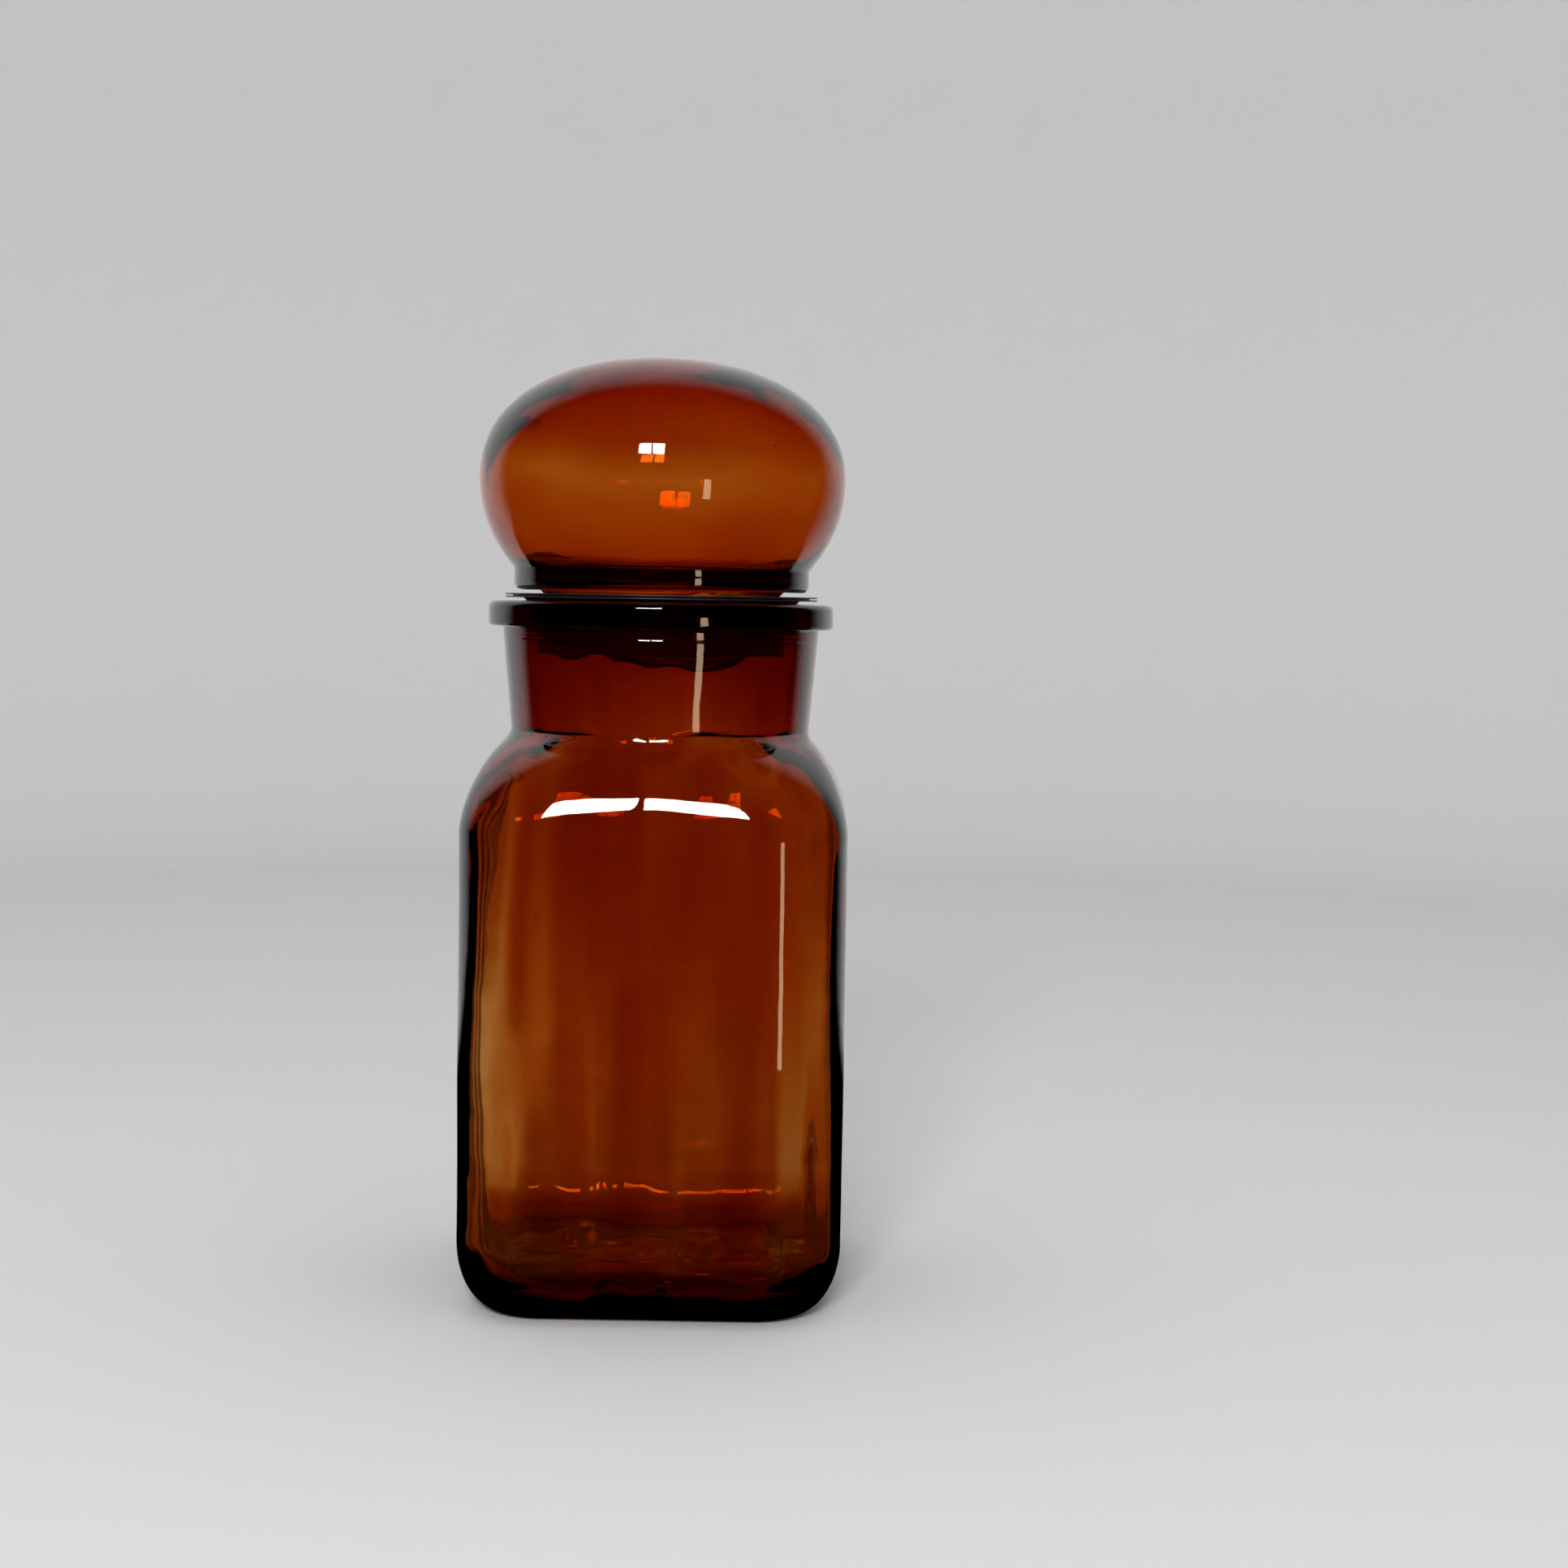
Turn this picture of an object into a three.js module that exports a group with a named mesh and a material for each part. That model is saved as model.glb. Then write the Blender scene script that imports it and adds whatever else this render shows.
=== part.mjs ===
// Apothecary jar: a square-shouldered amber glass jar, a hollow glass bubble lid and the finned black
// seal that sits between them. Millimetres, +Z up. The origin is the centre of the footprint, on the
// surface that the jar stands on, and the jar's flat sides face along X and Y.
import * as THREE from "three";

// Jar: the outside.
const BODY_HALF = 40.2; // half the width across the flat sides
const CORE_HALF = 22; // the corner arcs' centres are this far from the axis, both ways
const HEEL_IN = 9; // how far the heel curves in to the standing face
const HEEL_UP = 14; // how far up the heel starts to curve
const PUSH_UP_RADIUS = 27.5; // round hollow under the base
const PUSH_UP_RISE = 3;
const SHOULDER_Z = 99.8; // where the flat sides end
const SHOULDER_RADIUS = 25.7;
const SHOULDER_FULLNESS = 0.8; // below 1 the corners stay full further up the shoulder
const SHOULDER_BOW = 0.3; // how far the shoulder's flat faces have turned round by its top
const NECK_RADIUS = 31.85; // at the foot of the neck
const NECK_FLARE = 2; // the neck is this much wider under the rim
const NECK_FILLET = 3; // hollow curve between the shoulder and the neck
const RIM_RADIUS = 36.9;
const RIM_BOTTOM = 141.8;
const RIM_TOP = 147.2;
const RIM_LOWER_EDGE = 0.8;
const RIM_UPPER_EDGE = 1.4;

// Jar: the inside. The wall thins a little from the shoulder down to the heel.
const WALL = 2.8; // at the neck and the shoulder
const THIN_WALL = 2.2;
const THIN_Z = 40; // where the wall has thinned
const INNER_CORNER = 14; // radius of the cavity's upright corners
const BORE_RADIUS = 30; // at the mouth, from where the bore narrows a little towards the neck's foot
const MOUTH_EDGE = 2; // rounding inside the mouth
const FLOOR_Z = 4.2; // at the edge of the floor
const FLOOR_RISE = 1.6; // how far the middle of the floor stands above its edge
const FLOOR_HEEL_IN = 9;
const FLOOR_HEEL_UP = 11;

// Bubble lid: the outside.
const LID_TOP = 198.8;
const BUBBLE_Z = 173; // height of the widest circle
const BUBBLE_RADIUS = 39;
const BUBBLE_FALL = 32; // the lower half is part of an ellipse this tall
const BUBBLE_POWER = 2.2; // the upper half is a superellipse of this power
const NECKING_DEGREES = 35; // how far round that ellipse the bubble runs into its foot
const FOOT_RADIUS = 31.5; // solid ring under the bubble
const FOOT_TOP = 154;
const FOOT_BOTTOM = 149.5;
const FOOT_EDGE = 1.5;
const PLUG_RADIUS = 24.4;
const PLUG_SHOULDER = 1.6; // 45 degree shoulder above the plug, which rests on the seal
const PLUG_BOTTOM = 137.6;
const PLUG_BEAD = 0.4; // the fire-polished bead at the plug's end stands this proud
const PLUG_BEAD_HEIGHT = 3;
const PLUG_END_EDGE = 0.6;

// Bubble lid: the inside. The bubble is thinnest at its widest circle.
const SIDE_WALL = 1.6;
const TOP_WALL = 2.5;
const HOLLOW_POWER = 2.1;
const HOLLOW_FALL = 29;
const HOLLOW_DEGREES = 42; // how far round its ellipse the hollow runs into the throat
const PLUG_BORE = 21.4; // a 45 degree throat leads down to it from the hollow
const THROAT_EDGE = 2.5; // rounding between the throat and the bore

// Seal.
const GAP = 0.3; // between the seal and the glass on each side of it
const FLANGE_RADIUS = 33.3;
const FLANGE_TOP = 148.7;
const FLANGE_THICK = 0.9;
const GROOVE_DEPTH = 1.6; // the groove parts the flange's edge into two thin lips
const GROOVE_WIDTH = 0.26;
const SLEEVE_WALL = 1.7;
const SLEEVE_BOTTOM = 136.5;
const SLEEVE_EDGE = 0.5;
const SKIRT = 3.1; // height and width of the 45 degree skirt between the sleeve and the flange
const HOOK = 1.4; // how far the sleeve's end turns in under the plug
const HOOK_UNDERCUT = 0.2; // the groove round the plug's bead narrows by this much under the bead
const FIN_COUNT = 3;
const FIN_PITCH = 1.85;
const TOP_FIN_Z = 143.6;
const TOP_FIN_RADIUS = 29.6;
const FIN_LEAD = 0.4; // each fin is this much smaller than the one above it
const FIN_ROOT = 1.1; // height of a fin where it leaves the sleeve
const FIN_TIP = 0.5;

// Facets.
const JAR_SIDES = 48;
const LID_SIDES = 36;
const SEAL_SIDES = 36;
const CORNER_BIAS = 0.5; // 0 spreads the jar's sides evenly, and nearer 1 crowds them into the corners
const DOME_STEPS = 10;

const glass = () =>
  new THREE.MeshStandardMaterial({ color: 0x8a3f0a, roughness: 0.05, metalness: 0 });
const blackPlastic = () =>
  new THREE.MeshStandardMaterial({ color: 0x141413, roughness: 0.4, metalness: 0 });

const at = (x, y) => new THREE.Vector2(x, y);

// Points along an elliptical arc in the profile plane, both ends included. x is the radius, y the height.
function arc(x, y, radiusX, radiusY, fromDegrees, toDegrees, steps) {
  const points = [];
  for (let i = 0; i <= steps; i++) {
    const degrees = THREE.MathUtils.lerp(fromDegrees, toDegrees, i / steps);
    const angle = THREE.MathUtils.degToRad(degrees);
    points.push(at(x + radiusX * Math.cos(angle), y + radiusY * Math.sin(angle)));
  }
  return points;
}

// The upper half of a bubble, from its widest circle to its top: a superellipse of the given power.
function dome(radius, rise, power) {
  const bulge = (share) => Math.max(share, 0) ** (2 / power);
  return arc(0, 0, 1, 1, 0, 90, DOME_STEPS).map((p) =>
    at(radius * bulge(p.x), BUBBLE_Z + rise * bulge(p.y)),
  );
}

// The lower half, from the given number of degrees below the widest circle to just under it.
function bowl(radius, fall, degrees) {
  const steps = 6;
  return arc(0, BUBBLE_Z, radius, fall, -degrees, 0, steps).slice(0, steps);
}

// Turns a profile about the Z axis.
function turn(profile, sides) {
  return new THREE.LatheGeometry(profile, sides).rotateX(Math.PI / 2);
}

// A length of profile whose circles are squared. core is how far from the axis, both ways, the arcs of
// a square's rounded corners are centred, and bow how far the square has turned back into a circle.
function stretch(points, core = () => 0, bow = () => 0) {
  return points.map((point) => ({ point, core: core(point), bow: bow(point) }));
}

// Distance from the axis to such a square. With no core, or with a bow of 1, it is a circle.
function squareRadius(angle, half, core, bow) {
  const cosine = Math.abs(Math.cos(angle));
  const sine = Math.abs(Math.sin(angle));
  const along = Math.max(cosine, sine);
  const across = Math.min(cosine, sine);
  const onFlat = half * across <= core * along;
  const reach = Math.sqrt(Math.max((half - core) ** 2 - (core * (along - across)) ** 2, 0));
  const square = onFlat ? half / along : core * (along + across) + reach;
  return THREE.MathUtils.lerp(square, half, bow);
}

// Turns a profile about the Z axis, with each of its circles squared.
function turnSquared(profile, sides) {
  const geometry = turn(
    profile.map(({ point }) => point),
    sides,
  );
  const position = geometry.attributes.position;
  for (let i = 0; i < position.count; i++) {
    const { point, core, bow } = profile[i % profile.length];
    const even = (2 * Math.PI * Math.floor(i / profile.length)) / sides;
    const angle = even + (CORNER_BIAS * Math.sin(4 * even)) / 4;
    const radius = squareRadius(angle, point.x, core, bow);
    position.setXYZ(i, radius * Math.cos(angle), radius * Math.sin(angle), point.y);
  }
  return geometry;
}

// The shoulder and the hollow fillet above it, from the flat side up. inset moves the whole curve into
// the glass, which gives the inside of the same wall.
function shoulder(inset) {
  const centreX = BODY_HALF - SHOULDER_RADIUS;
  const filletX = NECK_RADIUS + NECK_FILLET;
  const reach = SHOULDER_RADIUS + NECK_FILLET;
  const lean = Math.acos((filletX - centreX) / reach);
  const degrees = THREE.MathUtils.radToDeg(lean);
  const filletZ = SHOULDER_Z + reach * Math.sin(lean);
  const bend = SHOULDER_RADIUS - inset;
  const hollow = NECK_FILLET + inset;
  return [
    ...arc(centreX, SHOULDER_Z, bend, bend, 0, degrees, 7),
    ...arc(filletX, filletZ, hollow, hollow, 180 + degrees, 180, 3).slice(1),
  ];
}

// A shoulder's profile with its sections: full square at the flat sides, round at the neck.
function shoulderStretch(points, fullCore) {
  const top = points.at(-1).y;
  const share = (p) => THREE.MathUtils.clamp((p.y - SHOULDER_Z) / (top - SHOULDER_Z), 0, 1);
  return stretch(
    points,
    (p) => fullCore * (1 - share(p) ** 2) ** SHOULDER_FULLNESS,
    (p) => SHOULDER_BOW * share(p),
  );
}

// The bead round the mouth, from under its edge, over the top and down into the bore.
function rim() {
  const low = RIM_LOWER_EDGE;
  const high = RIM_UPPER_EDGE;
  const mouth = MOUTH_EDGE;
  return [
    at(NECK_RADIUS + NECK_FLARE, RIM_BOTTOM),
    ...arc(RIM_RADIUS - low, RIM_BOTTOM + low, low, low, -90, 0, 2),
    ...arc(RIM_RADIUS - high, RIM_TOP - high, high, high, 0, 90, 3),
    ...arc(BORE_RADIUS + mouth, RIM_TOP - mouth, mouth, mouth, 90, 180, 3),
  ];
}

function jarGeometry() {
  const standHalf = BODY_HALF - HEEL_IN;
  const innerHalf = BODY_HALF - THIN_WALL;
  const innerCore = innerHalf - INNER_CORNER;
  const floorHalf = innerHalf - FLOOR_HEEL_IN;
  const floorCore = floorHalf - INNER_CORNER;
  const pushUp = arc(0, 0, PUSH_UP_RADIUS, PUSH_UP_RISE, 90, 0, 5);
  const heel = arc(standHalf, HEEL_UP, HEEL_IN, HEEL_UP, -90, 0, 6);
  const floorHeel = arc(floorHalf, FLOOR_Z + FLOOR_HEEL_UP, FLOOR_HEEL_IN, FLOOR_HEEL_UP, 0, -90, 5);
  const floor = arc(0, FLOOR_Z, floorHalf, FLOOR_RISE, 0, 90, 3).slice(1);
  return turnSquared(
    [
      ...stretch(pushUp),
      ...stretch(heel, () => CORE_HALF),
      ...shoulderStretch(shoulder(0), CORE_HALF),
      ...stretch(rim()),
      ...shoulderStretch(shoulder(WALL), innerCore).toReversed(),
      ...stretch([at(innerHalf, THIN_Z), ...floorHeel], (p) => p.x - INNER_CORNER),
      ...stretch(floor, (p) => (floorCore * p.x) / floorHalf),
    ],
    JAR_SIDES,
  );
}

// The inside of the lid, from the top of the hollow down to the plug's bore.
function lidInside() {
  const radius = BUBBLE_RADIUS - SIDE_WALL;
  const hollow = bowl(radius, HOLLOW_FALL, HOLLOW_DEGREES);
  const meeting = hollow[0].y - (hollow[0].x - PLUG_BORE);
  const throatZ = meeting - THROAT_EDGE * Math.tan(Math.PI / 8);
  return [
    ...dome(radius, LID_TOP - TOP_WALL - BUBBLE_Z, HOLLOW_POWER).toReversed(),
    ...hollow.toReversed(),
    ...arc(PLUG_BORE + THROAT_EDGE, throatZ, THROAT_EDGE, THROAT_EDGE, 135, 180, 2),
  ];
}

function lidGeometry() {
  const plug = [
    at(PLUG_BORE, PLUG_BOTTOM + PLUG_END_EDGE),
    at(PLUG_BORE + PLUG_END_EDGE, PLUG_BOTTOM),
    at(PLUG_RADIUS - PLUG_END_EDGE, PLUG_BOTTOM),
    at(PLUG_RADIUS + PLUG_BEAD, PLUG_BOTTOM + PLUG_BEAD_HEIGHT / 2),
    at(PLUG_RADIUS, PLUG_BOTTOM + PLUG_BEAD_HEIGHT),
    at(PLUG_RADIUS, FOOT_BOTTOM - PLUG_SHOULDER),
    at(PLUG_RADIUS + PLUG_SHOULDER, FOOT_BOTTOM),
  ];
  const foot = [
    ...arc(FOOT_RADIUS - FOOT_EDGE, FOOT_BOTTOM + FOOT_EDGE, FOOT_EDGE, FOOT_EDGE, -90, 0, 3),
    at(FOOT_RADIUS, FOOT_TOP),
  ];
  const bubble = [
    ...bowl(BUBBLE_RADIUS, BUBBLE_FALL, NECKING_DEGREES),
    ...dome(BUBBLE_RADIUS, LID_TOP - BUBBLE_Z, BUBBLE_POWER),
  ];
  return turn([...lidInside(), ...plug, ...foot, ...bubble], LID_SIDES);
}

// One of the fins round the sleeve, from its upper root to its lower one.
function fin(index, sleeve) {
  const z = TOP_FIN_Z - index * FIN_PITCH;
  const radius = TOP_FIN_RADIUS - index * FIN_LEAD;
  return [
    at(sleeve, z + FIN_ROOT / 2),
    at(radius, z + FIN_TIP / 2),
    at(radius, z - FIN_TIP / 2),
    at(sleeve, z - FIN_ROOT / 2),
  ];
}

function sealGeometry() {
  const bore = PLUG_RADIUS + GAP;
  const sleeve = bore + SLEEVE_WALL;
  const underPlug = PLUG_BOTTOM - GAP;
  const flangeBottom = FLANGE_TOP - FLANGE_THICK;
  const lip = (FLANGE_THICK - GROOVE_WIDTH) / 2;
  // A 45 degree seat lies under the plug's shoulder, and starts from this radius.
  const seat = PLUG_RADIUS + PLUG_SHOULDER - (FOOT_BOTTOM - FLANGE_TOP) + GAP * Math.SQRT2;
  const fins = [];
  for (let i = 0; i < FIN_COUNT; i++) fins.push(...fin(i, sleeve));
  return turn(
    [
      at(bore, FLANGE_TOP - (seat - bore)),
      at(bore, underPlug + PLUG_BEAD_HEIGHT + GAP),
      at(bore + PLUG_BEAD, underPlug + PLUG_BEAD_HEIGHT / 2 + GAP),
      at(bore - HOOK_UNDERCUT, underPlug),
      at(bore - HOOK, underPlug),
      at(bore - HOOK, SLEEVE_BOTTOM),
      at(sleeve - SLEEVE_EDGE, SLEEVE_BOTTOM),
      at(sleeve, SLEEVE_BOTTOM + SLEEVE_EDGE),
      ...fins.toReversed(),
      at(sleeve, flangeBottom - SKIRT),
      at(sleeve + SKIRT, flangeBottom),
      at(FLANGE_RADIUS, flangeBottom),
      at(FLANGE_RADIUS, flangeBottom + lip),
      at(FLANGE_RADIUS - GROOVE_DEPTH, flangeBottom + lip),
      at(FLANGE_RADIUS - GROOVE_DEPTH, FLANGE_TOP - lip),
      at(FLANGE_RADIUS, FLANGE_TOP - lip),
      at(FLANGE_RADIUS, FLANGE_TOP),
      at(seat, FLANGE_TOP),
      at(bore, FLANGE_TOP - (seat - bore)),
    ],
    SEAL_SIDES,
  );
}

function piece(name, geometry, material) {
  const mesh = new THREE.Mesh(geometry, material);
  mesh.name = name;
  return mesh;
}

const assembly = new THREE.Group();
assembly.add(
  piece("jar_body", jarGeometry(), glass()),
  piece("seal_collar", sealGeometry(), blackPlastic()),
  piece("bubble_lid", lidGeometry(), glass()),
);

export default assembly;
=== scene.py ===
"""The looks of the apothecary jar: amber glass jar and bubble lid, black seal, pale studio.

Outlines are worked out in millimetres and turned into meshes in metres, in the CAD model's frame:
+Z up along the neck's axis, the origin on the table under it, the jar's flat sides square to X and Y.
"""

import math

import bpy
import numpy as np
from mathutils import Matrix, Vector, noise


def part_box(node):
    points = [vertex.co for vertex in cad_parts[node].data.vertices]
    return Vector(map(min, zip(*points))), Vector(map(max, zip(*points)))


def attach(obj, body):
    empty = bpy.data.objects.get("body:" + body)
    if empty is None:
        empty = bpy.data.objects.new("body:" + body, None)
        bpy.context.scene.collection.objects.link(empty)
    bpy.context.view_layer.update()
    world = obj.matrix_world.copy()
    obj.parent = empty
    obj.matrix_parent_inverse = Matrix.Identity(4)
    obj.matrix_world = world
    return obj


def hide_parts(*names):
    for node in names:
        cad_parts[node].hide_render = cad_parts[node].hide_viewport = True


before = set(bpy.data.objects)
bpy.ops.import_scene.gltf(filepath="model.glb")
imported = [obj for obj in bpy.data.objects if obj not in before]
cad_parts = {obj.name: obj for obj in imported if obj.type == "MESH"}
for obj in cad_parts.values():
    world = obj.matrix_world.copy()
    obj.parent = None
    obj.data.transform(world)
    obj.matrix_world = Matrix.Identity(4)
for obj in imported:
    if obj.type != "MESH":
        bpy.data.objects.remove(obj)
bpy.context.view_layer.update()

MM = 0.001


def high(node):
    """A CAD node's largest x and z, in millimetres."""
    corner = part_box(node)[1]
    return corner.x / MM, corner.z / MM


def low_z(node):
    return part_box(node)[0].z / MM


# Jar, in millimetres.
BODY_HALF, RIM_TOP = high("jar_body")
CORE_HALF = 22.0  # the corner arcs' centres are this far from the axis, both ways
HEEL_IN, HEEL_UP = 9.0, 14.0
STAND_EDGE = 1.2  # rounding between the standing face and the push-up
PUSH_UP_RADIUS, PUSH_UP_RISE = 27.5, 3.0
PUSH_UP_END = 8.0  # the push-up's dome stops this many degrees above the table
STAND_LIP = 0.4  # the standing face starts this far outside the push-up
SHOULDER_Z, SHOULDER_RADIUS = 99.8, 25.7
SHOULDER_FULLNESS = 0.8  # below 1 the corners stay full further up the shoulder
NECK_RADIUS, NECK_FLARE, NECK_FILLET = 31.85, 2.0, 3.0
PARTING_Z, PARTING_RIDGE, PARTING_HALF = 139.4, 0.12, 0.3  # the faint line left by the neck mould
RIM_RADIUS, RIM_BOTTOM = 36.9, 141.8
RIM_ROOT, RIM_LOWER_EDGE, RIM_UPPER_EDGE = 0.6, 0.9, 1.5  # roundings under, below and above it
SHOULDER_BOW = 0.3  # how far the shoulder's faces have turned round by its top
WALL, THIN_WALL, THIN_Z = 2.8, 2.2, 40.0  # the wall thins from the neck down to this height
INNER_CORNER = 14.0
BORE_RADIUS, MOUTH_EDGE = 30.0, 2.0
FLOOR_Z, FLOOR_RISE = 4.2, 1.6
FLOOR_HEEL_IN, FLOOR_HEEL_UP = 9.0, 11.0

# Bubble lid, in millimetres.
BUBBLE_RADIUS, LID_TOP = high("bubble_lid")
PLUG_BOTTOM = low_z("bubble_lid")
BUBBLE_Z = 173.0
BUBBLE_FALL = 32.0  # the lower half is part of an ellipse this tall
BUBBLE_POWER = 2.2  # the upper half is a superellipse of this power
NECKING_DEGREES = 35.0
FOOT_RADIUS, FOOT_TOP, FOOT_BOTTOM, FOOT_EDGE = 31.5, 154.0, 149.5, 1.5
WAIST_POINTS = 3  # points at the bubble's foot that the waist's curve takes the place of
PLUG_RADIUS, PLUG_SHOULDER, PLUG_BEAD = 24.4, 1.6, 0.4
PLUG_BEAD_HEIGHT, PLUG_BEAD_CURVE = 3.0, 1.2
PLUG_END_EDGE, SHOULDER_EDGE, WAIST_CURVE = 0.9, 0.5, 1.0  # roundings
SIDE_WALL, TOP_WALL = 1.6, 2.5
HOLLOW_POWER = 2.1
HOLLOW_FALL, HOLLOW_DEGREES = 29.0, 42.0
PLUG_BORE, THROAT_EDGE = 21.4, 2.5  # a 45 degree throat leads down to the plug's bore

# Seal, in millimetres.
FLANGE_RADIUS, FLANGE_TOP = high("seal_collar")
SLEEVE_BOTTOM = low_z("seal_collar")
GAP = 0.3
FLANGE_THICK, GROOVE_DEPTH, GROOVE_WIDTH = 0.9, 1.6, 0.26
SLEEVE_WALL, SLEEVE_EDGE = 1.7, 0.5
HOOK, HOOK_UNDERCUT = 1.4, 0.2
SOFT_EDGE, SHARP_EDGE, GROOVE_EDGE = 0.3, 0.12, 0.08  # roundings of the moulding
SKIRT = 3.1  # height and width of the 45 degree skirt between the sleeve and the flange
FIN_COUNT, FIN_PITCH, TOP_FIN_Z, TOP_FIN_RADIUS = 3, 1.85, 143.6, 29.6
FIN_LEAD, FIN_ROOT, FIN_TIP = 0.4, 1.1, 0.5

# Mesh fineness.
JAR_SIDES, LID_SIDES, SEAL_SIDES = 240, 192, 192
LONGEST_STEP = 1.8  # between points of an outline, in millimetres
SAME_POINT = 1e-3  # points nearer to each other than this, in millimetres, are one
ROUNDING_STEP = 12.0  # degrees of a rounded corner between two points
CORNER_BIAS = 0.5  # 0 spreads the jar's sides evenly, and nearer 1 crowds them into the corners

# Waves in the glass, as hand-worked glass is never even: the side, then the height and the lengths
# along X, Y and Z in millimetres, then a place in the noise.
INSIDE, OUTSIDE = -1, 1
JAR_WAVES = [
    (OUTSIDE, 0.2, (26, 26, 40), 3.1),  # swell of the faces
    (OUTSIDE, 0.03, (13, 13, 3.6), 6.4),  # level ripples
    (INSIDE, 0.9, (15, 15, 70), 7.7),  # broad upright folds
    (INSIDE, 0.7, (6.5, 6.5, 45), 1.3),  # narrow upright folds
    (INSIDE, 0.14, (12, 12, 3.6), 4.9),  # level ripples
]
LID_WAVES = [
    (OUTSIDE, 0.12, (22, 22, 22), 11.3),  # swell
    (INSIDE, 0.45, (26, 26, 13), 5.9),  # broad folds
    (INSIDE, 0.1, (10, 10, 5), 2.4),  # ripples
]
ALWAYS_WAVY = 1000.0  # a height above every part
WAVES_FADE = 5.0  # millimetres over which waves die away
MOUTH_SMOOTH_FROM = 138.0  # the bore is true where the seal's fins reach it
BELOW_IS_FLOOR = 40.0  # glass that faces up is inside below this height, and outside above it

# What the glass takes up of red, green and blue, per metre.
JAR_ABSORPTION, LID_ABSORPTION = (250, 780, 1600), (182, 710, 1650)

# Studio, in metres and degrees. Azimuth 0 is the camera's side, and turns to the right.
ROOM_CENTRE = Vector((0, 0, 0.16))  # the lights turn round this point, about the lid's height
PALE = (0.73, 0.73, 0.725)
FLOOR_REACH, COVE, WALL_TOP = 0.8, 0.5, 2.3
STUDIO_SIDES = 128
SHEET_LEFT, SHEET_RIGHT, SHEET_Y, SHEET_TOP = -0.6, 0.4, 0.19, 0.9
# The reflected wall's paint is full between these, and painted shade fades it to black outside them
PALE_LEFT, PALE_RIGHT, PALE_FROM, PALE_TO = -0.3, 0.16, 0.02, 0.27  # full colour between these
WINDOW_AZIMUTH, PANE_APART = -5, 4.6  # each pane is this far to its side of the window's middle
WARM = (1, 0.72, 0.45)
SKY, SKY_STRENGTH = (0.97, 0.985, 1.0, 1), 1.1

LENS_MM, SENSOR_MM = 54.9, 36.0
CAMERA_PITCH, CAMERA_ROLL = -4.48, 0.915
CAMERA_AT = (0.0268, -0.514, 0.1488)


# ---------------------------------------------------------------- outlines


def arc(x, z, radius_x, radius_z, start, end, steps=16):
    """Points on an elliptical arc, both ends included, between two angles in degrees."""
    angles = np.radians(np.linspace(start, end, steps + 1))
    return [(x + radius_x * math.cos(a), z + radius_z * math.sin(a)) for a in angles]


def rounded(corners):
    """Points along a line whose corners (x, z, radius) are each rounded to their own radius."""
    points = []
    for i, (x, z, radius) in enumerate(corners):
        here = np.array((x, z))
        if radius == 0:
            points.append((x, z))
            continue
        back = np.array(corners[i - 1][:2]) - here
        ahead = np.array(corners[(i + 1) % len(corners)][:2]) - here
        back, ahead = back / np.linalg.norm(back), ahead / np.linalg.norm(ahead)
        half = math.acos(float(np.clip(back @ ahead, -1, 1))) / 2
        middle = here + (back + ahead) / np.linalg.norm(back + ahead) * radius / math.sin(half)
        start, end = (here + side * radius / math.tan(half) - middle for side in (back, ahead))
        turn = math.pi - 2 * half
        steps = max(2, math.ceil(turn / math.radians(ROUNDING_STEP)))
        for k in range(steps + 1):
            t = k / steps
            weights = math.sin((1 - t) * turn) / math.sin(turn), math.sin(t * turn) / math.sin(turn)
            points.append(tuple(middle + weights[0] * start + weights[1] * end))
    return points


def filled(points, closed=False):
    """The same line with no repeated point, and no step longer than LONGEST_STEP."""
    line = list(points) + ([points[0]] if closed else [])
    out = [line[0]]
    for point in line[1:]:
        last = np.array(out[-1])
        step = np.array(point) - last
        length = float(np.linalg.norm(step))
        if length < SAME_POINT:
            continue
        parts = max(1, math.ceil(length / LONGEST_STEP))
        out += [tuple(last + step * (k + 1) / parts) for k in range(parts)]
    return out[:-1] if closed else out


def shoulder(inset):
    """The shoulder and the fillet above it, from the flat side up, inset into the glass."""
    centre_x = BODY_HALF - SHOULDER_RADIUS
    fillet_x = NECK_RADIUS + NECK_FILLET
    reach = SHOULDER_RADIUS + NECK_FILLET
    lean = math.acos((fillet_x - centre_x) / reach)
    bend, hollow = SHOULDER_RADIUS - inset, NECK_FILLET + inset
    fillet_z = SHOULDER_Z + reach * math.sin(lean)
    start = 180 + math.degrees(lean)
    curve = arc(centre_x, SHOULDER_Z, bend, bend, 0, math.degrees(lean), steps=24)
    return curve + arc(fillet_x, fillet_z, hollow, hollow, start, 180, steps=10)


def shoulder_share(z, top):
    """How far up the shoulder a height is, from 0 at the flat sides to 1 at the neck."""
    return min(max((z - SHOULDER_Z) / (top - SHOULDER_Z), 0), 1)


def shoulder_section(line, core):
    """The shoulder's points with their cores and bows: full square below, round at the neck."""
    shares = [shoulder_share(z, line[-1][1]) for _, z in line]
    return [
        (x, z, core * (1 - share**2) ** SHOULDER_FULLNESS, SHOULDER_BOW * share)
        for (x, z), share in zip(line, shares, strict=True)
    ]


def section(line, core=0.0, corner=None):
    """Points with one core, or with the core that leaves their corners one radius."""
    return [(x, z, core if corner is None else x - corner, 0.0) for x, z in line]


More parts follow.
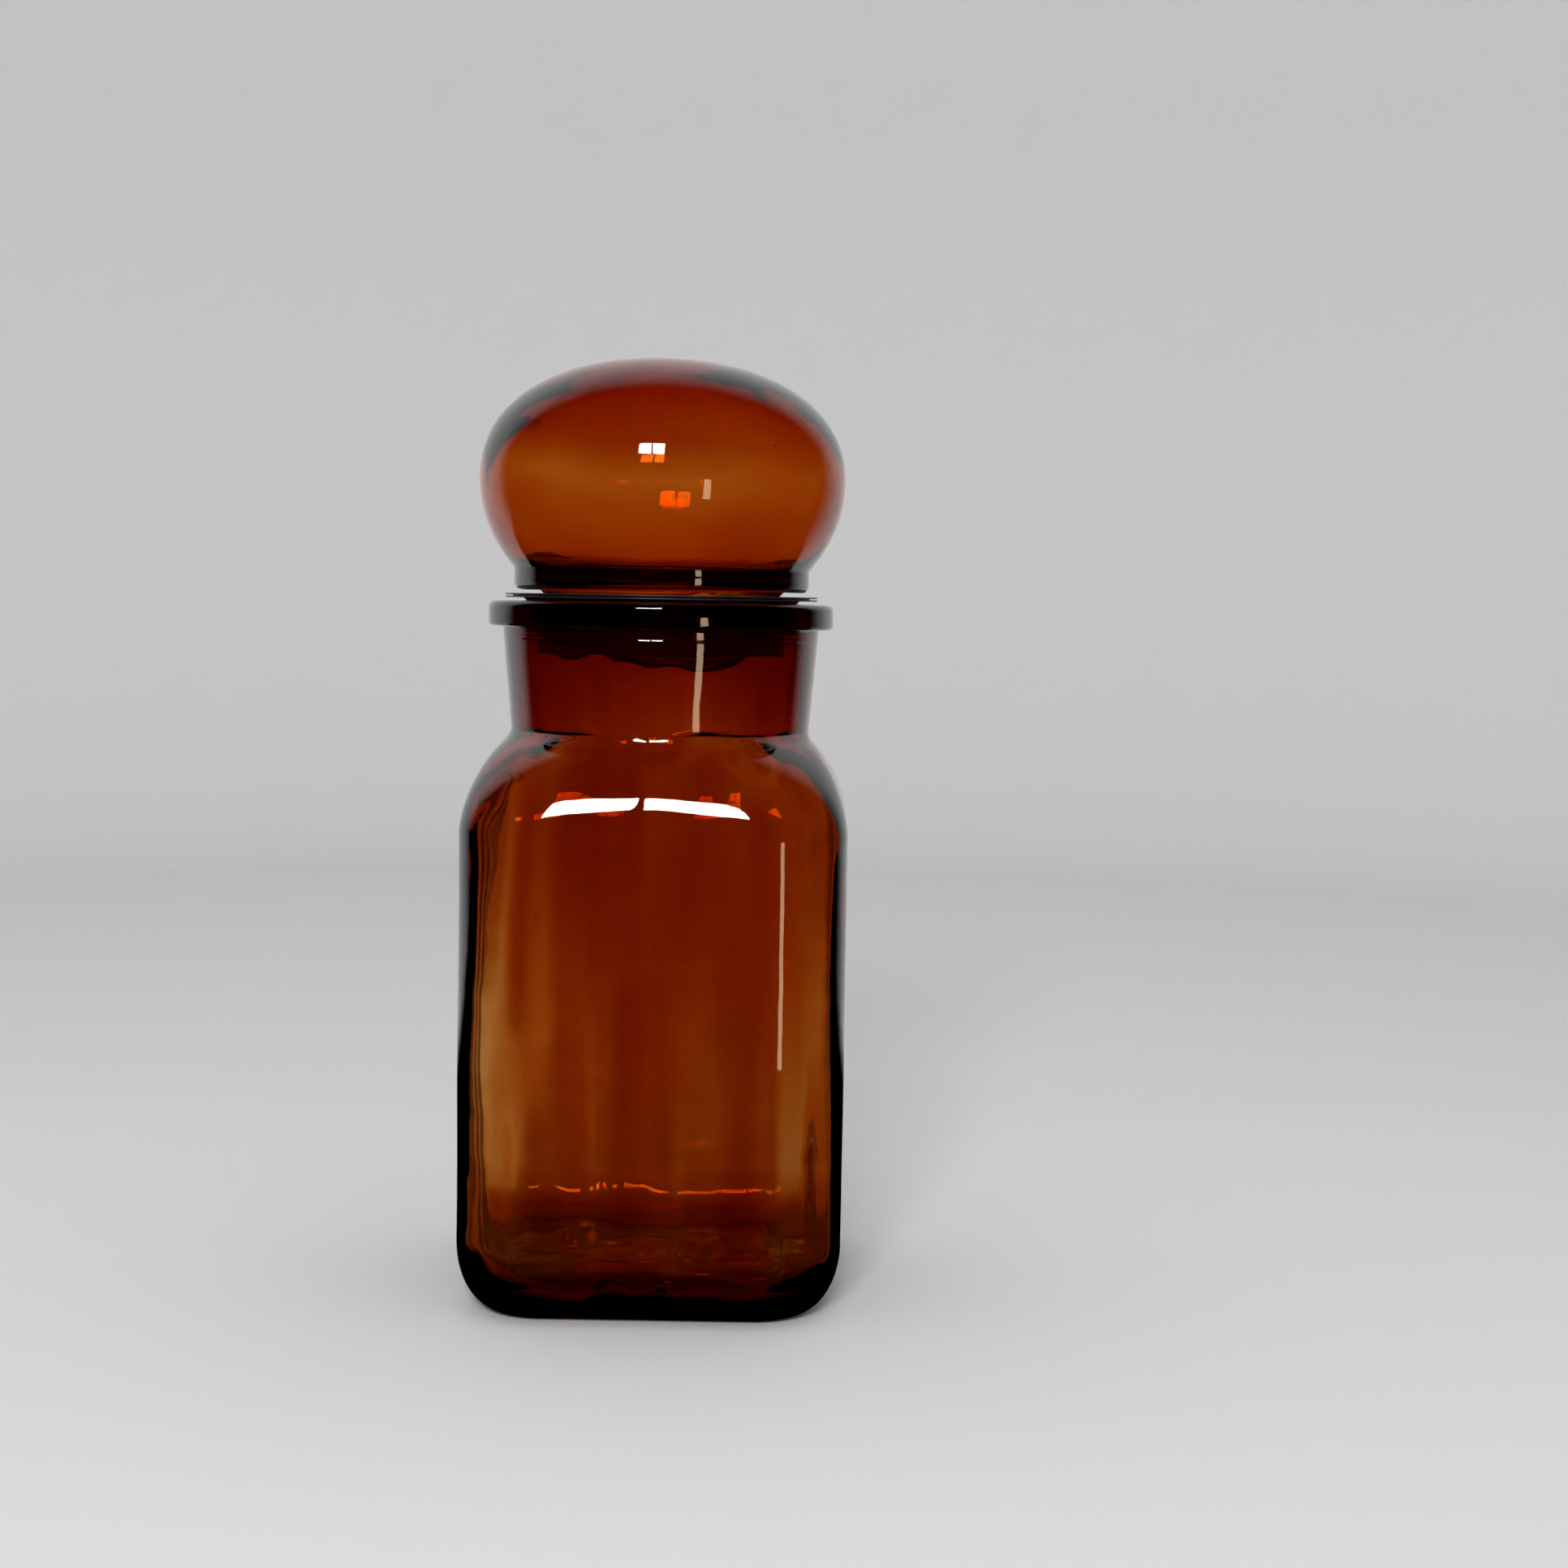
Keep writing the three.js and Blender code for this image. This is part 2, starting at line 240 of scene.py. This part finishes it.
def jar_outline():
    """The jar's profile, from under its base, up the outside and down the inside. Each point has
    the core and the bow of its section."""
    stand = BODY_HALF - HEEL_IN
    floor = BODY_HALF - THIN_WALL - FLOOR_HEEL_IN
    outer, inner = shoulder(0), shoulder(WALL)
    neck_top = NECK_RADIUS + NECK_FLARE
    slope = NECK_FLARE / (RIM_BOTTOM - outer[-1][1])
    parting_x = NECK_RADIUS + slope * (PARTING_Z - outer[-1][1])
    rim = rounded(
        [
            (outer[-1][0], outer[-1][1], 0),
            (parting_x - slope * PARTING_HALF, PARTING_Z - PARTING_HALF, PARTING_HALF),
            (parting_x + PARTING_RIDGE, PARTING_Z, PARTING_HALF / 2),
            (parting_x + slope * PARTING_HALF, PARTING_Z + PARTING_HALF, PARTING_HALF),
            (neck_top, RIM_BOTTOM, RIM_ROOT),
            (RIM_RADIUS, RIM_BOTTOM, RIM_LOWER_EDGE),
            (RIM_RADIUS, RIM_TOP, RIM_UPPER_EDGE),
            (BORE_RADIUS, RIM_TOP, MOUTH_EDGE),
            (inner[-1][0], inner[-1][1], 0),
        ]
    )
    push_up = arc(0, 0, PUSH_UP_RADIUS, PUSH_UP_RISE, 90, PUSH_UP_END, steps=24)
    stand_corner = (PUSH_UP_RADIUS + STAND_LIP, 0, STAND_EDGE)
    stand_edge = rounded([(*push_up[-1], 0), stand_corner, (stand, 0, 0)])
    heel = arc(stand, HEEL_UP, HEEL_IN, HEEL_UP, -90, 0, steps=24)
    floor_heel_z = FLOOR_Z + FLOOR_HEEL_UP
    floor_heel = arc(floor, floor_heel_z, FLOOR_HEEL_IN, FLOOR_HEEL_UP, 0, -90, steps=20)
    floor_core = floor - INNER_CORNER
    middle = arc(0, FLOOR_Z, floor, FLOOR_RISE, 0, 90, steps=20)
    inner_core = BODY_HALF - THIN_WALL - INNER_CORNER
    return filled(
        section(push_up + stand_edge[:-1])
        + section(heel, CORE_HALF)
        + shoulder_section(outer, CORE_HALF)
        + section(rim[1:-1])
        + shoulder_section(inner, inner_core)[::-1]
        + section([(BODY_HALF - THIN_WALL, THIN_Z)] + floor_heel, corner=INNER_CORNER)
        + [(x, z, floor_core * x / floor, 0.0) for x, z in middle]
    )


def dome(radius, rise, power):
    """The upper half of a bubble, from its widest circle to its top."""
    around = arc(0, 0, 1, 1, 0, 90, steps=48)
    return [
        (radius * max(c, 0) ** (2 / power), BUBBLE_Z + rise * max(s, 0) ** (2 / power))
        for c, s in around
    ]


def bowl(radius, fall, degrees):
    """The lower half, from the given number of degrees down to just under the widest circle."""
    return arc(0, BUBBLE_Z, radius, fall, -degrees, 0, steps=24)[:-1]


def lid_outline():
    """The lid's profile, from the top of the hollow, down inside it, round the plug and up outside."""
    hollow_radius = BUBBLE_RADIUS - SIDE_WALL
    hollow = bowl(hollow_radius, HOLLOW_FALL, HOLLOW_DEGREES)
    bead_z = PLUG_BOTTOM + PLUG_BEAD_HEIGHT / 2
    outer = bowl(BUBBLE_RADIUS, BUBBLE_FALL, NECKING_DEGREES)
    plug = rounded(
        [
            (*hollow[0], 0),
            (PLUG_BORE, hollow[0][1] - (hollow[0][0] - PLUG_BORE), THROAT_EDGE),
            (PLUG_BORE, PLUG_BOTTOM, PLUG_END_EDGE),
            (PLUG_RADIUS, PLUG_BOTTOM, PLUG_END_EDGE),
            (PLUG_RADIUS + PLUG_BEAD, bead_z, PLUG_BEAD_CURVE),
            (PLUG_RADIUS, PLUG_BOTTOM + PLUG_BEAD_HEIGHT, PLUG_BEAD_CURVE),
            (PLUG_RADIUS, FOOT_BOTTOM - PLUG_SHOULDER, SHOULDER_EDGE),
            (PLUG_RADIUS + PLUG_SHOULDER, FOOT_BOTTOM, SHOULDER_EDGE),
            (FOOT_RADIUS, FOOT_BOTTOM, FOOT_EDGE),
            (FOOT_RADIUS, FOOT_TOP, WAIST_CURVE),
            (*outer[WAIST_POINTS], 0),
        ]
    )
    inner_dome = dome(hollow_radius, LID_TOP - TOP_WALL - BUBBLE_Z, HOLLOW_POWER)
    outer_dome = dome(BUBBLE_RADIUS, LID_TOP - BUBBLE_Z, BUBBLE_POWER)
    inside = inner_dome[::-1] + hollow[::-1]
    outside = outer[WAIST_POINTS + 1 :] + outer_dome
    return filled(section(inside + plug[1:] + outside))


def fin(index, sleeve):
    """One of the fins round the sleeve, from its lower root to its upper one."""
    z, radius = TOP_FIN_Z - index * FIN_PITCH, TOP_FIN_RADIUS - index * FIN_LEAD
    return [
        (sleeve, z - FIN_ROOT / 2, SHARP_EDGE),
        (radius, z - FIN_TIP / 2, SHARP_EDGE),
        (radius, z + FIN_TIP / 2, SHARP_EDGE),
        (sleeve, z + FIN_ROOT / 2, SHARP_EDGE),
    ]


def seal_outline():
    """The seal's closed section."""
    bore = PLUG_RADIUS + GAP
    sleeve = bore + SLEEVE_WALL
    under_plug = PLUG_BOTTOM - GAP
    flange_bottom = FLANGE_TOP - FLANGE_THICK
    lip = (FLANGE_THICK - GROOVE_WIDTH) / 2
    seat = PLUG_RADIUS + PLUG_SHOULDER - (FOOT_BOTTOM - FLANGE_TOP) + GAP * math.sqrt(2)
    fins = [corner for i in reversed(range(FIN_COUNT)) for corner in fin(i, sleeve)]
    groove = FLANGE_RADIUS - GROOVE_DEPTH
    bead_z = under_plug + PLUG_BEAD_HEIGHT / 2 + GAP
    corners = [
        (bore, FLANGE_TOP - (seat - bore), SOFT_EDGE),
        (bore, under_plug + PLUG_BEAD_HEIGHT + GAP, SOFT_EDGE),
        (bore + PLUG_BEAD, bead_z, SOFT_EDGE),
        (bore - HOOK_UNDERCUT, under_plug, SHARP_EDGE),
        (bore - HOOK, under_plug, SHARP_EDGE),
        (bore - HOOK, SLEEVE_BOTTOM, SHARP_EDGE),
        (sleeve, SLEEVE_BOTTOM, SLEEVE_EDGE),
        *fins,
        (sleeve, flange_bottom - SKIRT, SHARP_EDGE),
        (sleeve + SKIRT, flange_bottom, SOFT_EDGE),
        (FLANGE_RADIUS, flange_bottom, SHARP_EDGE),
        (FLANGE_RADIUS, flange_bottom + lip, SHARP_EDGE),
        (groove, flange_bottom + lip, GROOVE_EDGE),
        (groove, FLANGE_TOP - lip, GROOVE_EDGE),
        (FLANGE_RADIUS, FLANGE_TOP - lip, SHARP_EDGE),
        (FLANGE_RADIUS, FLANGE_TOP, SHARP_EDGE),
        (seat, FLANGE_TOP, SOFT_EDGE),
    ]
    return filled(section(rounded(corners)), closed=True)


# ---------------------------------------------------------------- meshes


def square_radius(angle, half, core, bow):
    """Distance from the axis to a square with rounded corners. With no core, or with a bow of 1, it
    is a circle."""
    cosine, sine = np.abs(np.cos(angle)), np.abs(np.sin(angle))
    along, across = np.maximum(cosine, sine), np.minimum(cosine, sine)
    reach = np.sqrt(np.maximum((half - core) ** 2 - (core * (along - across)) ** 2, 0))
    square = np.where(half * across <= core * along, half / along, core * (along + across) + reach)
    return square + (half - square) * bow


def turned(name, outline, sides, closed=False):
    """A mesh made by turning an outline of (x, z, core, bow) points about the Z axis."""
    even = np.linspace(0, 2 * math.pi, sides, endpoint=False)
    squared = any(core for _, _, core, _ in outline)
    angles = even + CORNER_BIAS * np.sin(4 * even) / 4 if squared else even
    vertices, rings = [], []
    for x, z, core, bow in outline:
        if x < SAME_POINT:
            rings.append([len(vertices)])
            vertices.append((0, 0, z))
            continue
        radius = square_radius(angles, x, core, bow)
        rings.append(list(range(len(vertices), len(vertices) + sides)))
        vertices += [
            (r * math.cos(a), r * math.sin(a), z) for r, a in zip(radius, angles, strict=True)
        ]
    faces = []
    pairs = list(zip(rings, rings[1:] + rings[:1] if closed else rings[1:], strict=False))
    for lower, upper in pairs:
        for k in range(sides):
            n = (k + 1) % sides
            if len(lower) == 1:
                faces.append((lower[0], upper[n], upper[k]))
            elif len(upper) == 1:
                faces.append((lower[k], lower[n], upper[0]))
            else:
                faces.append((lower[k], lower[n], upper[n], upper[k]))
    mesh = bpy.data.meshes.new(name)
    mesh.from_pydata((np.array(vertices, float) * MM).tolist(), [], faces)
    mesh.polygons.foreach_set("use_smooth", [True] * len(faces))
    mesh.update()
    made = bpy.data.objects.new(name, mesh)
    bpy.context.scene.collection.objects.link(made)
    return made


def wavy(piece, waves, smooth_from=ALWAYS_WAVY):
    """Moves each point along its normal by smooth noise.

    All waves die away towards the standing face, which is flat. Those of the inside die away towards
    the height smooth_from too, and above it the inside is smooth.
    """
    mesh = piece.data
    pushes = np.zeros(len(mesh.vertices))
    for i, vertex in enumerate(mesh.vertices):
        at, normal = vertex.co, vertex.normal
        lift = normal.z * math.copysign(0.5, at.z - BELOW_IS_FLOOR * MM)
        facing = normal.xy.dot(at.xy) / max(at.xy.length, MM) + lift
        calm = min(max((smooth_from - at.z / MM) / WAVES_FADE, 0), 1)
        above_foot = min(at.z / MM / WAVES_FADE, 1)
        for side, height, lengths, seed in waves:
            weight = min(max(0.5 + side * facing * 2, 0), 1) * above_foot
            if side == INSIDE:
                weight *= calm
            place = Vector([c / (length * MM) for c, length in zip(at, lengths, strict=True)])
            pushes[i] += weight * height * noise.noise(place + Vector((seed, -seed, seed)))
    normals = np.array([vertex.normal for vertex in mesh.vertices])
    places = np.array([vertex.co for vertex in mesh.vertices])
    mesh.vertices.foreach_set("co", (places + normals * pushes[:, None] * MM).ravel())
    mesh.update()


# ---------------------------------------------------------------- materials


def new_material(name):
    """An empty material with its output node. Returns (material, node maker, linker)."""
    material = bpy.data.materials.new(name)
    material.use_nodes = True
    tree = material.node_tree
    tree.nodes.clear()

    def node(kind, **values):
        made = tree.nodes.new(kind)
        for key, value in values.items():
            if key in made.inputs:
                made.inputs[key].default_value = value
            else:
                setattr(made, key, value)
        return made

    return material, node, tree.links.new


def ranged(node, link, value, old, new, **options):
    """The value, mapped from the range old to the range new."""
    made = node("ShaderNodeMapRange", **options)
    keys = "From Min", "From Max", "To Min", "To Max"
    for key, number in zip(keys, (*old, *new), strict=True):
        made.inputs[key].default_value = number
    link(value, made.inputs["Value"])
    return made.outputs["Result"]


def amber_glass(name, absorption):
    """Clear amber glass that takes up the given amounts of red, green and blue, per metre."""
    material, node, link = new_material(name)
    density = max(absorption) * 1.04  # a little above, so that no channel of the colour is zero
    colour = [1 - a / density for a in absorption]
    output = node("ShaderNodeOutputMaterial")
    shader = node("ShaderNodeBsdfPrincipled", IOR=1.52)
    shader.inputs["Transmission Weight"].default_value = 1.0
    shader.inputs["Base Color"].default_value = (1, 1, 1, 1)
    volume = node("ShaderNodeVolumeAbsorption", Density=density, Color=(*colour, 1))
    place = node("ShaderNodeTexCoord")

    # Fire-polished skin: broad soft waves with a finer orange peel on top.
    broad = node("ShaderNodeTexNoise", Scale=60.0, Detail=2.0, Roughness=0.5)
    fine = node("ShaderNodeTexNoise", Scale=420.0, Detail=1.0, Roughness=0.5)
    link(place.outputs["Object"], broad.inputs["Vector"])
    link(place.outputs["Object"], fine.inputs["Vector"])
    broad_bump = node("ShaderNodeBump", Strength=0.25, Distance=0.0004)
    fine_bump = node("ShaderNodeBump", Strength=0.09, Distance=0.0001)
    link(broad.outputs["Fac"], broad_bump.inputs["Height"])
    link(fine.outputs["Fac"], fine_bump.inputs["Height"])
    link(broad_bump.outputs["Normal"], fine_bump.inputs["Normal"])

    # Seeds: here and there a tiny bubble near the skin, in a few of the cells of a coarse pattern.
    cells = node("ShaderNodeTexVoronoi", Scale=75.0)
    link(place.outputs["Object"], cells.inputs["Vector"])
    chosen = node("ShaderNodeSeparateColor")
    link(cells.outputs["Color"], chosen.inputs["Color"])
    seeded, seed_sizes = (0.72, 1.0), (0.0, 0.05)
    size = ranged(node, link, chosen.outputs["Red"], seeded, seed_sizes)
    depth = node("ShaderNodeMath", operation="SUBTRACT", use_clamp=True)
    link(size, depth.inputs[0])
    link(cells.outputs["Distance"], depth.inputs[1])
    seed_bump = node("ShaderNodeBump", Strength=1.0, Distance=0.02)
    link(depth.outputs["Value"], seed_bump.inputs["Height"])
    link(fine_bump.outputs["Normal"], seed_bump.inputs["Normal"])
    link(seed_bump.outputs["Normal"], shader.inputs["Normal"])

    # Handling leaves faint smears that are a little less glossy.
    smear = node("ShaderNodeTexNoise", Scale=35.0, Detail=5.0, Roughness=0.6)
    link(place.outputs["Object"], smear.inputs["Vector"])
    smeared, roughnesses = (0.45, 0.75), (0.0, 0.05)
    roughness = ranged(node, link, smear.outputs["Fac"], smeared, roughnesses)
    link(roughness, shader.inputs["Roughness"])

    link(shader.outputs["BSDF"], output.inputs["Surface"])
    link(volume.outputs["Volume"], output.inputs["Volume"])
    return material


def black_plastic():
    """Soft black moulded plastic with a satin, slightly uneven skin."""
    material, node, link = new_material("black_plastic")
    output = node("ShaderNodeOutputMaterial")
    shader = node("ShaderNodeBsdfPrincipled", IOR=1.5)
    place = node("ShaderNodeTexCoord")
    cloud = node("ShaderNodeTexNoise", Scale=90.0, Detail=4.0, Roughness=0.6)
    link(place.outputs["Object"], cloud.inputs["Vector"])
    tint = node("ShaderNodeMix", data_type="RGBA")
    tint.inputs["A"].default_value = (0.008, 0.008, 0.009, 1)
    tint.inputs["B"].default_value = (0.02, 0.019, 0.018, 1)
    link(cloud.outputs["Fac"], tint.inputs["Factor"])
    link(tint.outputs["Result"], shader.inputs["Base Color"])
    whole, satin = (0.0, 1.0), (0.28, 0.5)
    link(ranged(node, link, cloud.outputs["Fac"], whole, satin), shader.inputs["Roughness"])
    grain = node("ShaderNodeTexNoise", Scale=900.0, Detail=2.0, Roughness=0.5)
    link(place.outputs["Object"], grain.inputs["Vector"])
    bump = node("ShaderNodeBump", Strength=0.2, Distance=0.0001)
    link(grain.outputs["Fac"], bump.inputs["Height"])
    link(bump.outputs["Normal"], shader.inputs["Normal"])
    link(shader.outputs["BSDF"], output.inputs["Surface"])
    return material


def plain(name, colour, roughness):
    """Paint of one colour."""
    material, node, link = new_material(name)
    output = node("ShaderNodeOutputMaterial")
    shader = node("ShaderNodeBsdfPrincipled", Roughness=roughness)
    shader.inputs["Base Color"].default_value = (*colour, 1)
    link(shader.outputs["BSDF"], output.inputs["Surface"])
    return material


# ---------------------------------------------------------------- the jar


def dress(piece, body, node_name, material):
    """Puts a finished piece in the place of its CAD node."""
    piece.data.materials.append(material)
    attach(piece, body)
    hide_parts(node_name)


jar = turned("jar", jar_outline(), JAR_SIDES)
wavy(jar, JAR_WAVES, smooth_from=MOUTH_SMOOTH_FROM)
dress(jar, "jar", "jar_body", amber_glass("jar_glass", JAR_ABSORPTION))

lid = turned("lid", lid_outline(), LID_SIDES)
wavy(lid, LID_WAVES)
dress(lid, "lid", "bubble_lid", amber_glass("lid_glass", LID_ABSORPTION))

seal = turned("seal", seal_outline(), SEAL_SIDES, closed=True)
dress(seal, "seal", "seal_collar", black_plastic())


# ---------------------------------------------------------------- studio


def room():
    """A pale floor that curves up into a pale wall. Reflections see neither, because pale
    surroundings in front of the glass would turn it milky, but a nearer wall behind the jar."""
    reach, cove, top = FLOOR_REACH / MM, COVE / MM, WALL_TOP / MM
    paint = plain("pale_paint", PALE, roughness=0.9)
    floor = turned("studio_floor", section([(0.0, 0.0), (reach, 0.0)]), STUDIO_SIDES)
    curve = arc(reach, cove, cove, cove, -90, 0, steps=24) + [(reach + cove, top)]
    wall = turned("studio_wall", section(curve), STUDIO_SIDES)
    for piece in (floor, wall):
        piece.visible_glossy = False
        piece.data.flip_normals()
        piece.data.materials.append(paint)
    reflected_wall()


def paint_fading_to_painted_shade():
    """Pale paint with painted shade that fades it to black towards the edges of the reflected wall."""
    material, node, link = new_material("paint_fading_to_painted_shade")
    output = node("ShaderNodeOutputMaterial")
    shader = node("ShaderNodeBsdfDiffuse")
    place = node("ShaderNodeTexCoord")
    parts = node("ShaderNodeSeparateXYZ")
    link(place.outputs["Object"], parts.inputs["Vector"])
    strength = None
    for axis, black, full in (
        ("X", SHEET_LEFT, PALE_LEFT),
        ("X", SHEET_RIGHT, PALE_RIGHT),
        ("Z", 0.0, PALE_FROM),
        ("Z", SHEET_TOP, PALE_TO),
    ):
        place_along, whole = parts.outputs[axis], (0.0, 1.0)
        fade = ranged(node, link, place_along, (black, full), whole, interpolation_type="SMOOTHSTEP")
        if strength is None:
            strength = fade
            continue
        both = node("ShaderNodeMath", operation="MULTIPLY")
        link(strength, both.inputs[0])
        link(fade, both.inputs[1])
        strength = both.outputs["Value"]
    # Painted shade: black at the sheet's edges, pale where the fade is full
    tint = node("ShaderNodeMix", data_type="RGBA")
    tint.inputs["A"].default_value = (0, 0, 0, 1)
    tint.inputs["B"].default_value = (*PALE, 1)
    link(strength, tint.inputs["Factor"])
    link(tint.outputs["Result"], shader.inputs["Color"])
    link(shader.outputs["BSDF"], output.inputs["Surface"])
    return material


def reflected_wall():
    """The wall as reflections see it: a flat sheet close behind the jar, its pale paint fading into
    painted shade at the edges.
    """
    sheet = bpy.data.objects.new("reflected_wall", bpy.data.meshes.new("reflected_wall"))
    low = [(x, SHEET_Y, 0) for x in (SHEET_LEFT, SHEET_RIGHT)]
    high_corners = [(x, SHEET_Y, SHEET_TOP) for x in (SHEET_RIGHT, SHEET_LEFT)]
    sheet.data.from_pydata(low + high_corners, [], [(0, 1, 2, 3)])
    sheet.data.materials.append(paint_fading_to_painted_shade())
    bpy.context.scene.collection.objects.link(sheet)
    for ray in ("camera", "diffuse", "transmission", "volume_scatter", "shadow"):
        setattr(sheet, "visible_" + ray, False)
    return sheet


def panel(name, azimuth, elevation, distance, width, height, brightness, colour=(1, 1, 1)):
    """A soft rectangular light that faces the object."""
    turn, lift = math.radians(azimuth), math.radians(elevation)
    way = Vector((math.sin(turn) * math.cos(lift), -math.cos(turn) * math.cos(lift), math.sin(lift)))
    data = bpy.data.lights.new(name, "AREA")
    data.shape = "RECTANGLE"
    data.size, data.size_y = width, height
    data.energy = brightness * math.pi * width * height
    data.color = colour
    light = bpy.data.objects.new(name, data)
    light.location = ROOM_CENTRE + way * distance
    light.rotation_euler = way.to_track_quat("Z", "Y").to_euler()
    light.visible_camera = False
    bpy.context.scene.collection.objects.link(light)


def studio():
    """The room, a window of two panes, a low warm light and an even sky."""
    room()
    for side, name in ((-1, "window_left_pane"), (1, "window_right_pane")):
        azimuth = WINDOW_AZIMUTH + side * PANE_APART
        panel(name, azimuth, elevation=25, distance=1.2, width=0.15, height=0.25, brightness=36)
    low = {"azimuth": 30, "elevation": -9.5, "distance": 0.95}
    panel("low_window", **low, width=0.08, height=0.27, brightness=7, colour=WARM)
    world = bpy.data.worlds.new("studio_world")
    bpy.context.scene.world = world
    world.use_nodes = True
    world.cycles_visibility.glossy = False
    background = world.node_tree.nodes["Background"]
    background.inputs["Color"].default_value = SKY
    background.inputs["Strength"].default_value = SKY_STRENGTH


def camera():
    """The camera, in front of the jar and a little above its middle."""
    data = bpy.data.cameras.new("camera")
    data.lens, data.sensor_width = LENS_MM, SENSOR_MM
    made = bpy.data.objects.new("camera", data)
    tilt = Matrix.Rotation(math.radians(90 + CAMERA_PITCH), 4, "X")
    roll = Matrix.Rotation(math.radians(CAMERA_ROLL), 4, "Z")
    made.matrix_world = Matrix.Translation(CAMERA_AT) @ tilt @ roll
    bpy.context.scene.collection.objects.link(made)
    bpy.context.scene.camera = made


studio()
camera()
bpy.context.scene.view_settings.view_transform = "Standard"
